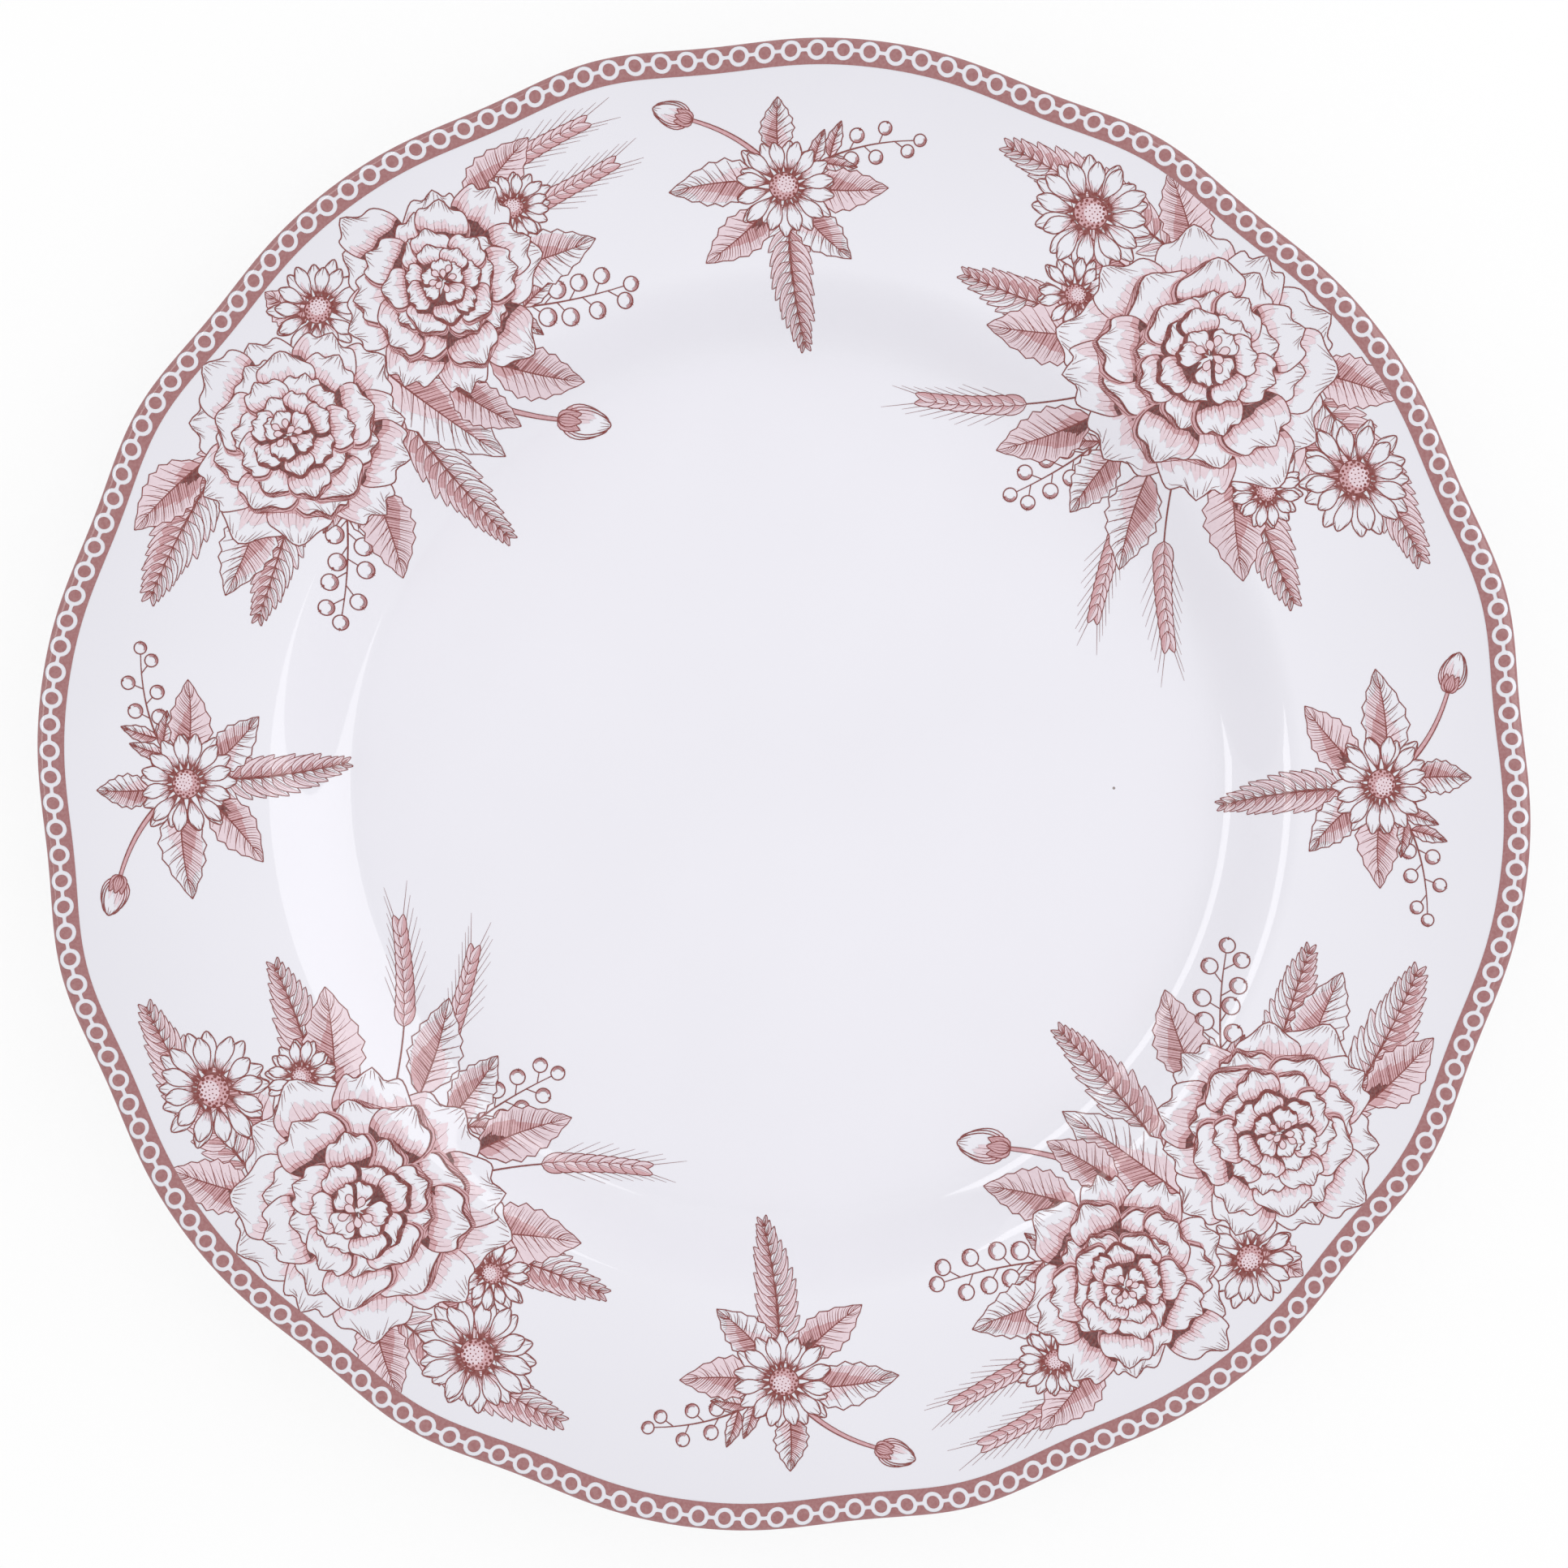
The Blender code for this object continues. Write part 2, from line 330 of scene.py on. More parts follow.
def face_stations():
    """Points and normals of the face from the middle of the well to the start of the lip."""
    radii = WELL_STATIONS + list(np.linspace(WELL_RADIUS, SHOULDER_RADIUS, SHOULDER_STEPS + 1))
    radii += list(np.linspace(SHOULDER_RADIUS, LIP_START, RIM_STEPS + 1)[1:-1])
    radii = np.array(radii)
    slope = face_slope(radii, SKIN_SLOPE_STEP)
    length = np.hypot(slope, 1)
    heights = face_height(radii)
    return [((r, z), (-s / n, 1 / n)) for r, z, s, n in zip(radii, heights, slope, length)]


def lip_stations():
    """Points and normals round the lip."""
    stations = []
    for angle in np.linspace(np.pi / 2, -np.pi / 2, LIP_STEPS + 1) + RIM_ANGLE:
        normal = (math.cos(angle), math.sin(angle))
        at = (LIP_MIDDLE + LIP_RADIUS * normal[0], LIP_LEVEL + LIP_RADIUS * normal[1])
        stations.append((at, normal))
    return stations


def smooth_curve(points, per_span):
    """A smooth line through points (Catmull-Rom)."""
    points = np.array(points, float)
    ends = np.vstack([2 * points[0] - points[1], points, 2 * points[-1] - points[-2]])
    line = []
    for a, b, c, d in zip(ends, ends[1:], ends[2:], ends[3:]):
        for t in np.arange(per_span) / per_span:
            line.append(
                0.5 * (2 * b + (c - a) * t + (2 * a - 5 * b + 4 * c - d) * t**2)
                + 0.5 * (3 * b - a - 3 * c + d) * t**3
            )
    line.append(points[-1])
    return np.array(line)


def with_normals(line):
    """A profile's points with normals on its left side."""
    return [(tuple(p), tuple(n)) for p, n in zip(line, left_of(line))]


def back_stations():
    """Points and normals of the back from the lip to the dry edge of the foot ring."""
    points = []
    for t in np.linspace(0, 1, BACK_STEPS + 1)[1:]:
        radius = LIP_START + (SHOULDER_RADIUS - LIP_START) * t
        thick = LIP_THICKNESS + (WALL_THICKNESS - LIP_THICKNESS) * t
        height = RIM_LEVEL + RIM_SLOPE * (radius - SHOULDER_RADIUS)
        points.append((radius + thick * math.sin(RIM_ANGLE), height - thick * math.cos(RIM_ANGLE)))
    foot_top = FOOT_RADIUS + FOOT_FLARE + COAT
    for (r, z), (nr, nz) in face_stations()[::-1]:
        if WELL_RADIUS < r < SHOULDER_RADIUS - BACK_MARGIN:
            point = (r - WALL_THICKNESS * nr, z - WALL_THICKNESS * nz)
            if foot_top + BACK_MARGIN < point[0] < points[-1][0] - BACK_SPACING:
                points.append(point)
    points.append((foot_top + FILLET_OUT, BASE_RECESS + FILLET_UP))
    points.append((foot_top - FOOT_FLARE / 2, (BASE_RECESS + DRY_EDGE) / 2))
    points.append((foot_top - FOOT_FLARE, DRY_EDGE))
    return with_normals(smooth_curve(points, CURVE_STEPS))


def base_stations():
    """Points and normals of the recess inside the foot ring, from its dry edge to the middle."""
    inner = FOOT_RADIUS - FOOT_WIDTH - COAT
    points = [(inner, DRY_EDGE), (inner, BASE_RECESS - RECESS_BEND)]
    for angle in np.linspace(0, np.pi / 2, BEND_STEPS + 1)[1:]:
        radius = inner - RECESS_BEND + RECESS_BEND * math.cos(angle)
        height = BASE_RECESS - RECESS_BEND + RECESS_BEND * math.sin(angle)
        points.append((radius, height))
    points += [(radius, BASE_RECESS) for radius in RECESS_STATIONS]
    stations = with_normals(np.array(points))
    return stations[:-1] + [(stations[-1][0], (0.0, -1.0))]


def sunk(stations, depth):
    """The stations' points moved into the china by a depth."""
    return [(p[0] - depth * n[0], p[1] - depth * n[1]) for p, n in stations]


def add_china():
    """The two glaze coats and the bare body under them, each a closed skin."""
    white = glaze("glaze", GLAZE_COLOUR)
    coat = face_stations() + lip_stations() + back_stations()
    base = base_stations()
    coat_skin = turned("glaze_coat", sunk(coat, 0) + sunk(coat, COAT)[::-1], white)
    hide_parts("outer_glaze")
    base_skin = turned("base_coat", sunk(base, 0)[::-1] + sunk(base, COAT), white)
    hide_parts("base_glaze")
    outside = sunk(coat, COAT + BODY_CLEARANCE)
    inside = sunk(base, COAT + BODY_CLEARANCE)
    foot_out, foot_in = outside[-1][0], inside[0][0]
    foot = [
        (foot_out, FOOT_CHAMFER),
        (foot_out - FOOT_CHAMFER, 0),
        (foot_in + FOOT_CHAMFER, 0),
        (foot_in, FOOT_CHAMFER),
    ]
    body_skin = turned("china_body", outside + foot + inside, bisque("bisque", BISQUE_COLOUR))
    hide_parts("porcelain_body")


# Materials


def new_material(name):
    """A node material with its Principled shader."""
    made = bpy.data.materials.new(name)
    made.use_nodes = True
    return made, made.node_tree, made.node_tree.nodes["Principled BSDF"]


def feed(node, inputs):
    """Gives a node's inputs, by name or number, links from outputs or plain values."""
    for key, value in inputs.items():
        if isinstance(value, bpy.types.NodeSocket):
            node.id_data.links.new(value, node.inputs[key])
        else:
            node.inputs[key].default_value = value


def own_place(tree):
    """The object's own coordinates."""
    return tree.nodes.new("ShaderNodeTexCoord").outputs["Object"]


def noise(tree, scale, detail):
    """A noise texture in the object's own coordinates."""
    texture = tree.nodes.new("ShaderNodeTexNoise")
    feed(texture, {"Vector": own_place(tree), "Scale": scale, "Detail": detail})
    return texture.outputs["Fac"]


def maths(tree, operation, first, second):
    """The result of an operation on two numbers."""
    node = tree.nodes.new("ShaderNodeMath")
    node.operation = operation
    feed(node, {0: first, 1: second})
    return node.outputs[0]


def mixed(tree, kind, factor, first, second):
    """Two colours mixed by a factor."""
    node = tree.nodes.new("ShaderNodeMix")
    node.data_type = "RGBA"
    node.blend_type = kind
    feed(node, {"Factor": factor, "A": first, "B": second})
    return node.outputs["Result"]


def ranged(tree, value, start, end, low, high):
    """A number that runs from low to high while a value runs from start to end."""
    node = tree.nodes.new("ShaderNodeMapRange")
    feed(node, {"Value": value, "From Min": start, "From Max": end, "To Min": low, "To Max": high})
    return node.outputs["Result"]


def spread(tree, factor, low, high):
    """A number that runs from low to high over the middle of a noise."""
    return ranged(tree, factor, 0.3, 0.7, low, high)


def blend(tree, factor, low, high, first, second):
    """A colour that goes from the first to the second as a factor goes from low to high."""
    ramp = tree.nodes.new("ShaderNodeValToRGB")
    for stop, place, colour in zip(ramp.color_ramp.elements, (low, high), (first, second)):
        stop.position = place
        stop.color = (*colour, 1)
    feed(ramp, {"Fac": factor})
    return ramp.outputs["Color"]


def relief(tree, height, strength, distance):
    """Normals with relief from a height."""
    bump = tree.nodes.new("ShaderNodeBump")
    feed(bump, {"Height": height, "Strength": strength, "Distance": distance})
    return bump.outputs["Normal"]


def painted_shade_outwards(tree, colour):
    """A colour that gets a little darker over the rim towards the lip: painted shade."""
    distance = tree.nodes.new("ShaderNodeVectorMath")
    distance.operation = "LENGTH"
    feed(distance, {0: own_place(tree)})
    # Painted shade: the glaze colour darkens from here out to the lip
    start = WELL_RADIUS + PAINTED_SHADE_START
    level = ranged(tree, distance.outputs["Value"], start, LIP_START, 1.0, LIP_SHADE_TONE)
    return mixed(tree, "MULTIPLY", 1.0, colour, level)


def specks(tree):
    """One in a few small spots, and zero elsewhere."""
    cells = tree.nodes.new("ShaderNodeTexVoronoi")
    cells.voronoi_dimensions = "2D"
    feed(cells, {"Vector": own_place(tree), "Scale": SPECK_CELLS})
    near = maths(tree, "LESS_THAN", cells.outputs["Distance"], SPECK_SIZE)
    some = maths(tree, "GREATER_THAN", cells.outputs["Color"], 1 - SPECK_SHARE)
    return maths(tree, "MULTIPLY", near, some)


def glaze(name, colour):
    """White glaze: a faint cloud in the colour, few dark specks and the soft ripple of glazed ware."""
    made, tree, shader = new_material(name)
    duller = [c * 0.985 for c in colour]
    cloud = blend(tree, noise(tree, scale=22, detail=3), 0.35, 0.65, duller, colour)
    speckled = mixed(tree, "MIX", specks(tree), cloud, SPECK_COLOUR)
    feed(shader, {
        # The base colour carries painted shade that darkens it over the rim towards the lip
        "Base Color": painted_shade_outwards(tree, speckled),
        "Roughness": spread(tree, noise(tree, scale=60, detail=4), 0.03, 0.055),
        "IOR": GLOSS_INDEX,
        "Normal": relief(tree, noise(tree, scale=90, detail=2), strength=0.04, distance=0.0004),
    })
    return made


def bisque(name, colour):
    """Bare fired china of the foot ring: matt, with a fine grain."""
    made, tree, shader = new_material(name)
    grain = noise(tree, scale=900, detail=6)
    feed(shader, {
        "Base Color": blend(tree, grain, 0.3, 0.7, [c * 0.86 for c in colour], colour),
        "Roughness": spread(tree, grain, 0.62, 0.85),
        "Normal": relief(tree, grain, strength=0.35, distance=0.0002),
    })
    return made


def ink(name, colour, mottle):
    """Printed ink under the gloss, with the fine stipple of a transfer."""
    made, tree, shader = new_material(name)
    dark = [c * (1 - mottle) for c in colour]
    light = [c + mottle * (1 - c) for c in colour]
    feed(shader, {
        "Base Color": blend(tree, noise(tree, scale=1800, detail=5), 0.36, 0.66, dark, light),
        "Roughness": spread(tree, noise(tree, scale=60, detail=4), 0.04, 0.07),
        "IOR": GLOSS_INDEX,
    })
    return made


# Drawing


class Pen:
    """Flat shapes in painter's order, in millimetres. A later shape covers the earlier ones."""

    def __init__(self, seed):
        self.points = []
        self.faces = []
        self.tones = []
        self.random = np.random.default_rng(seed)

    def fill(self, outline, tone):
        """An area with one tone."""
        x, y = outline[:, 0], outline[:, 1]
        if np.sum(x * np.roll(y, -1) - np.roll(x, -1) * y) < 0:
            outline = outline[::-1]
        first = len(self.points)
        self.points.extend(outline.tolist())
        self.faces.append(list(range(first, first + len(outline))))
        self.tones.append(tone)

    def line(self, path, widths, tone=LINE):
        """A stroke along a path, whose width swells and thins evenly through the widths given."""
        across = left_of(path)
        places = np.linspace(0, 1, len(widths))
        half = NIB * np.interp(np.linspace(0, 1, len(path)), places, widths)[:, None] / 2
        left, right = path + across * half, path - across * half
        first = len(self.points)
        for a, b in zip(left, right):
            self.points.extend((a.tolist(), b.tolist()))
        for i in range(len(path) - 1):
            corners = np.array([right[i], right[i + 1], left[i + 1], left[i]])
            edges = np.roll(corners, -1, axis=0) - corners
            turns = edges[:, 0] * np.roll(edges[:, 1], -1) - edges[:, 1] * np.roll(edges[:, 0], -1)
            if turns.min() > LEAST_TURN:
                at = first + 2 * i
                self.faces.append([at + 1, at + 3, at + 2, at])
                self.tones.append(tone)

    def boxes(self):
        """The least and greatest corner of each shape."""
        points = np.array(self.points)
        low = np.array([points[f].min(axis=0) for f in self.faces])
        high = np.array([points[f].max(axis=0) for f in self.faces])
        return low, high

    def drop_hidden(self):
        """Leaves out the shapes that lie wholly under one later area."""
        points = np.array(self.points)
        low, high = self.boxes()
        keep = np.ones(len(self.faces), dtype=bool)
        for j, area in enumerate(self.faces):
            if len(area) < COVER_CORNERS:
                continue
            under = keep[:j] & np.all(low[:j] >= low[j], axis=1) & np.all(high[:j] <= high[j], axis=1)
            under = np.nonzero(under)[0]
            if len(under):
                corners = np.concatenate([self.faces[i] for i in under])
                counts = [len(self.faces[i]) for i in under]
                starts = np.concatenate([[0], np.cumsum(counts)[:-1]])
                covered = within(points[corners], points[area])
                keep[under[np.logical_and.reduceat(covered, starts)]] = False
        self.faces = [f for f, kept in zip(self.faces, keep) if kept]
        self.tones = [t for t, kept in zip(self.tones, keep) if kept]
        used = sorted({k for f in self.faces for k in f})
        place = {old: new for new, old in enumerate(used)}
        self.points = [self.points[k] for k in used]
        self.faces = [[place[k] for k in f] for f in self.faces]


def within(points, outline):
    """Which points lie inside an outline."""
    x, y = points[:, 0, None], points[:, 1, None]
    ax, ay = outline[:, 0], outline[:, 1]
    bx, by = np.roll(ax, -1), np.roll(ay, -1)
    crosses = (ay > y) != (by > y)
    rise = np.where(by == ay, 1e-12, by - ay)
    return np.sum(crosses & (x < ax + (y - ay) * (bx - ax) / rise), axis=1) % 2 == 1


def turned_about(points, angle):
    """Points turned about the origin."""
    c, s = math.cos(angle), math.sin(angle)
    return np.asarray(points) @ np.array([[c, s], [-s, c]])


def unit(angle):
    """The unit vector at an angle."""
    return np.array([math.cos(angle), math.sin(angle)])


def units(angles):
    """The unit vectors at several angles."""
    return np.stack([np.cos(angles), np.sin(angles)], axis=1)


def circle(corners):
    """Points spread evenly round the unit circle."""
    return units(np.linspace(0, 2 * np.pi, corners, endpoint=False))


class Blade:
    """The outline of a petal or leaf: a bent axis with a half-width on each side.

    It is widest at the share peak of its length, and the lower blunt is, the rounder is its tip.
    """

    def __init__(self, base, angle, length, width, peak, bend=0.0, blunt=0.5, ruffle=0.0,
                 lobes=2.5, steps=15):
        self.base = base
        self.angle, self.length, self.width = angle, length, width
        self.power = math.log(0.5) / math.log(peak)
        self.bend, self.blunt, self.ruffle, self.lobes = bend, blunt, ruffle, lobes
        t = 1 - (1 - np.linspace(0, 1, steps)) ** 1.9
        self.outline = np.vstack([self.at(t, 1.0), self.at(t, -1.0)[-2::-1]])

    def at(self, t, side):
        """Points at shares t of the length and a share of the half-width to the left."""
        t = np.asarray(t, float)
        bell = np.sin(np.pi * np.clip(t, 0, 1) ** self.power)
        half = self.width / 2 * np.maximum(bell, 0) ** (0.95 - (0.95 - self.blunt) * t)
        y = side * half
        x = self.length * t
        wave = np.cos(2 * np.pi * self.lobes * y / self.width) - 1
        x = x + self.ruffle * self.length * wave * np.clip((t - 0.45) / 0.4, 0, 1)
        y = y + self.bend * self.length * t**2
        return self.base + turned_about(np.stack([x, y], axis=-1), self.angle)

    def part(self, start, end, low, high, steps):
        """The outline of a stretch of the blade between two shares of its half-width."""
        t = np.linspace(start, end, steps)
        return np.vstack([self.at(t, high), self.at(t[::-1], low)])

    def run(self, start, end, steps, side=0.0):
        """Points between two shares of the length, at a share of the half-width to the left."""
        return self.at(np.linspace(start, end, steps), side)

    def heading(self, start, end):
        """The direction of the axis between two shares of the length."""
        ahead = self.at(end, 0.0) - self.at(start, 0.0)
        return math.atan2(ahead[1], ahead[0])


def fan(blade, sides, ends):
    """The outline of a wash from the base of a blade, with an end of its own at each share of the width."""
    low = blade.run(0.01, ends[0], 6, sides[0])
    high = blade.run(ends[-1], 0.01, 6, sides[-1])
    return np.vstack([low[:-1], blade.at(ends, sides), high[1:]])


def petal(pen, blade, lines, start, reach, shade_side):
    """A petal: washes and lines that fan from its base, short lines at its edge, and an outline.

    The washes begin where the petal comes out from under the next ones, at a share of its length.
    """
    r = pen.random
    pen.fill(blade.outline, BARE)
    sides = np.linspace(-1, 1, 2 * lines + 1)
    shaded = 0.5 + 0.5 * sides * shade_side
    share = reach * (0.62 + 0.62 * shaded) + 0.08 * r.normal(size=len(sides))
    share = np.clip(share - 0.10 * (np.arange(len(sides)) % 2), 0.06, 0.92)
    tip = 0.96
    room = tip - start
    pen.fill(fan(blade, sides, start + room * np.minimum(1.14 * share, 0.95)), PALE)
    pen.fill(fan(blade, sides, start + room * 0.46 * share), MID)
    pen.fill(fan(blade, sides, start + room * 0.16 * share), DEEP)
    root = 0.8 * start + 0.03
    for side, end in zip(0.95 * sides[1:-1:2], share[1:-1:2] + 0.16):
        pen.line(blade.run(root, start + room * min(end, 0.93), 6, side), PETAL_LONG)
    for side, end in zip(0.95 * sides[2:-1:2], share[2:-1:2]):
        pen.line(blade.run(root, start + room * 0.72 * end, 5, side), PETAL_SHORT)
    for side in np.linspace(-0.75, 0.75, lines):
        end = tip - room * (0.12 + 0.16 * r.random())
        shifted = np.clip(side + 0.05 * r.normal(), -0.85, 0.85)
        pen.line(blade.run(0.97, end, 4, shifted), PETAL_TIP)
    pen.line(blade.outline, PETAL_EDGE)


def leaf(pen, base, angle, length, width, bend, dark, teeth=7):
    """A leaf with a dark and a light half, side veins, hatching and a toothed edge."""
    r = pen.random
    blade = Blade(base, angle, length, width, 0.42, bend, 0.95, steps=2 * teeth + 1)
    t = np.linspace(0, 1, 2 * teeth + 1)
    notch = np.where(np.arange(len(t)) % 2 == 1, 1.10, 0.94)
    left = np.array([blade.at(a, k) for a, k in zip(t, notch)])
    right = np.array([blade.at(a, -k) for a, k in zip(t, notch)])
    pen.fill(np.vstack([left, right[-2::-1]]), PALE if dark > 1 else BARE)
    sides = np.linspace(0, 0.9, 9)
    uneven = 0.12 * (np.arange(len(sides)) % 2)
    washes = (
        (1, 0.90, 0.62, PALE, 1),
        (1, 0.74, 0.18, MID, 1),
        (1, 0.30, 0.04, DEEP, 2),
        (-1, 0.56, 0.16, PALE, 1),
        (-1, 0.34, 0.06, MID, 2),
    )
    for half, far, near, tone, least in washes:
        if dark >= least:
            ends = np.linspace(far, near, len(sides)) + uneven * r.random(len(sides))
            pen.fill(fan(blade, half * sides, ends), tone)
    steps = np.linspace(0, 1, 5)
    for a in np.linspace(0.06, 0.86, 4 * teeth):
        reach = 0.82 + 0.12 * r.random()
        pen.line(blade.at(a + 0.13 * steps, reach * steps), LEAF_HATCH)
    for a in np.linspace(0.10, 0.80, 2 * teeth):
        reach = 0.45 + 0.35 * r.random()
        pen.line(blade.at(a + 0.13 * steps, -reach * steps), LEAF_HATCH_FINE)
    steps = np.linspace(0, 1, 6)
    for a in np.linspace(0.12, 0.78, teeth):
        for side in (0.96, -0.96):
            pen.line(blade.at(a + 0.14 * steps, side * steps), LEAF_VEIN)
    pen.line(blade.run(0, 1, 13), LEAF_SPINE)
    for edge in (left, right):
        pen.line(edge, LEAF_EDGE)


def stem(pen, path, start, end):
    """A stem: a strip with a dark line on each edge and one of them heavier."""
    shift = left_of(path) * (np.linspace(start, end, len(path))[:, None] / 2)
    pen.line(path, (start, end), MID)
    pen.line(path + shift, STEM_LIGHT_EDGE)
    pen.line(path - shift, STEM_HEAVY_EDGE)


def dahlia(pen, middle, radius, turn, lean):
    """A large double flower: tiers of broad petals, each with a shadow on those below it."""
    r = pen.random
    lean = np.array(lean)
    for level, (count, inside, outside, width) in enumerate(DAHLIA_TIERS):
        centre = middle + lean * (1 - outside) * radius
        over = DAHLIA_TIERS[level + 1][2] if level + 1 < len(DAHLIA_TIERS) else inside
        start = 0.80 * (over - inside) / (outside - inside)
        for k in list(range(0, count, 2)) + list(range(1, count, 2)):
            angle = turn + 2 * np.pi * (k + 0.5 * level + 0.12 * r.normal()) / count
            length = (outside - inside) * radius * (1 + 0.06 * r.normal())
            broad = width * radius * (1 + 0.08 * r.normal())
            base = centre + inside * radius * unit(angle)
            heading = angle + 0.06 * r.normal()
            form = {"peak": 0.66, "bend": 0.10 * r.normal(), "blunt": 0.42, "ruffle": 0.05,
                    "lobes": 1.5 + 1.5 * r.random(), "steps": 21}
            if level > 0:
                fall = radius * (0.046 - 0.005 * level) * np.array([-0.55, -0.84])
                shade = Blade(base + fall, heading, length, 1.04 * broad, **form)
                pen.fill(shade.outline, DEEP if level > 2 else MID)
                for side in np.linspace(-0.95, 0.95, 14):
                    pen.line(shade.run(0.5, 0.99, 5, side), SHADE_HATCH)
                core = Blade(base + 0.30 * fall, heading, length, broad, **form)
                pen.fill(core.outline, DEEP)
            blade = Blade(base, heading, length, broad, **form)
            lower = 0.5 - 0.5 * math.sin(angle)
            petal(pen, blade, 8 - level, start, 0.38 + 0.22 * lower, 1 if math.cos(angle) > 0 else -1)
    for k in range(7):
        angle = turn + 2.4 * k
        at = middle + lean * radius + 0.012 * radius * math.sqrt(k) * 2 * unit(angle)
        seed = Blade(at, angle, 0.09 * radius, 0.06 * radius, 0.6)
        pen.fill(seed.outline, PALE)
        pen.line(seed.outline, SEED_EDGE)


def daisy(pen, middle, radius, turn, squash, lean=0.0):
    """A ray flower: two rounds of narrow petals about a stippled disc."""
    r = pen.random
    shape = np.array([1, squash])
    for count, reach, offset in ((13, 1.0, 0.0), (12, 0.93, 0.5)):
        for k in range(count):
            angle = turn + 2 * np.pi * (k + offset + 0.10 * r.normal()) / count
            way = turned_about(unit(angle) * shape, lean)
            length = np.linalg.norm(way) * reach * radius * (0.74 + 0.05 * r.normal())
            base = middle + way * 0.22 * radius
            bend = 0.06 * r.normal()
            blade = Blade(base, math.atan2(way[1], way[0]), length, 0.27 * radius, 0.66, bend, 0.5,
                          0.02, 1.5, 11)
            petal(pen, blade, 3, 0.08, 0.36, 1)
    disc = turned_about(circle(30) * shape, lean) * 0.27 * radius
    pen.fill(middle + disc, MID)
    pen.fill(middle + disc * 0.62 + 0.04 * radius, PALE)
    dots = 46
    golden_turn = 2.39996
    for k in range(dots):
        reach = 0.255 * radius * math.sqrt((k + 0.5) / dots)
        at = turned_about(unit(golden_turn * k) * shape * reach, lean)
        size = 0.012 * radius + 0.026 * radius * (k / dots) ** 2
        pen.fill(middle + at + size * circle(7), LINE)
    pen.line(np.vstack([disc, disc[:1]]) + middle, DISC_EDGE)


def frond(pen, base, angle, length, bend, width, pairs, dark):
    """A fern frond: a bent stem with pairs of leaflets that get smaller to the tip."""
    r = pen.random
    axis = Blade(base, angle, length, width, 0.4, bend)
    for k in range(pairs):
        t = 0.06 + 0.90 * (k / (pairs - 1)) ** 0.9
        joint = axis.at(t, 0.0)
        heading = axis.heading(t - 0.02, min(1.0, t + 0.02))
        size = width / 2 * (0.30 + 0.95 * math.sin(math.pi * (0.18 + 0.80 * t)))
        for side in (1, -1):
            way = heading + side * (1.02 - 0.45 * t + 0.05 * r.normal())
            blade = Blade(joint, way, size, 0.40 * size, 0.40, -0.14 * side, 0.8, steps=9)
            tones, end = ((PALE, MID), 0.52) if side == dark else ((BARE, PALE), 0.98)
            pen.fill(blade.outline, tones[0])
            pen.fill(blade.part(0.02, end, -1, 0, 6), tones[1])
            for place in (-0.55, -0.2, 0.4):
                pen.line(blade.run(0.04, 0.62 + 0.2 * r.random(), 5, place), FROND_HATCH)
            pen.line(blade.run(0, 0.95, 6), FROND_VEIN)
            pen.line(blade.outline, FROND_EDGE)
    pen.line(axis.run(0, 1, 20), FROND_SPINE)


def berries(pen, base, angle, length, bend, count, size):
    """A twig of round berries on short stalks, with small leaves."""
    r = pen.random
    axis = Blade(base, angle, length, length, 0.5, bend)
    pen.line(axis.run(0, 1, 16), TWIG)
    for k in range(count):
        t = 0.32 + 0.68 * k / (count - 1)
        joint = axis.at(t, 0.0)
        side = 0 if k == count - 1 else 1 if k % 2 else -1
        way = axis.heading(t - 0.04, t) + side * (0.85 + 0.15 * r.normal())
        hub = joint + (1.2 + 0.9 * abs(side)) * size * unit(way)
        pen.line(np.linspace(joint, hub, 5), STALK)
        berry(pen, hub, size * (1.05 - 0.25 * t), way)
    for t, side in ((0.08, 1), (0.16, -1), (0.26, 1)):
        way = angle + side * 0.8
        leaf(pen, axis.at(t, 0.0), way, 2.6 * size + 3.2, 1.1 * size + 1.2, -0.1 * side, 1, 4)


def berry(pen, middle, size, angle):
    """One berry: an outline, a shaded side with curved hatching, and a dark crown."""
    disc = circle(22)
    pen.fill(middle + size * disc, BARE)
    outer = units(np.linspace(-2.2, 0.5, 12))
    inner = outer[::-1] * 0.52 + np.array([0.10, -0.16])
    pen.fill(middle + size * np.vstack([outer, inner]), MID)
    for share in (0.62, 0.78, 0.92):
        pen.line(middle + size * share * outer, BERRY_HATCH)
    pen.line(middle + size * np.vstack([disc, disc[:1]]), BERRY_EDGE)
    crown = middle + 0.78 * size * unit(angle)
    for turn in (-0.8, 0.0, 0.8):
        tip = crown + 0.42 * size * unit(angle + turn)
        pen.line(np.linspace(crown, tip, 3), CROWN_LINE)


def bud(pen, base, angle, length):
    """A closed flower bud: overlapping petals out of a dark cup of sepals."""
    for side, share in ((0.30, 0.84), (-0.30, 0.84), (0.14, 0.95), (-0.14, 0.95), (0.0, 1.0)):
        blade = Blade(base, angle + side, length * share, 0.46 * length, 0.5, -0.4 * side, 0.55, steps=13)
        petal(pen, blade, 4, 0.20, 0.5, 1)
    for side in (0.55, -0.55, 0.0):
        blade = Blade(base, angle + side, 0.46 * length, 0.24 * length, 0.4, -0.4 * side, 0.95, steps=11)
        pen.fill(blade.outline, MID)
        for place in (-0.5, 0.0, 0.5):
            pen.line(blade.run(0.03, 0.85, 5, place), SEPAL_HATCH)
        pen.line(blade.outline, SEPAL_EDGE)


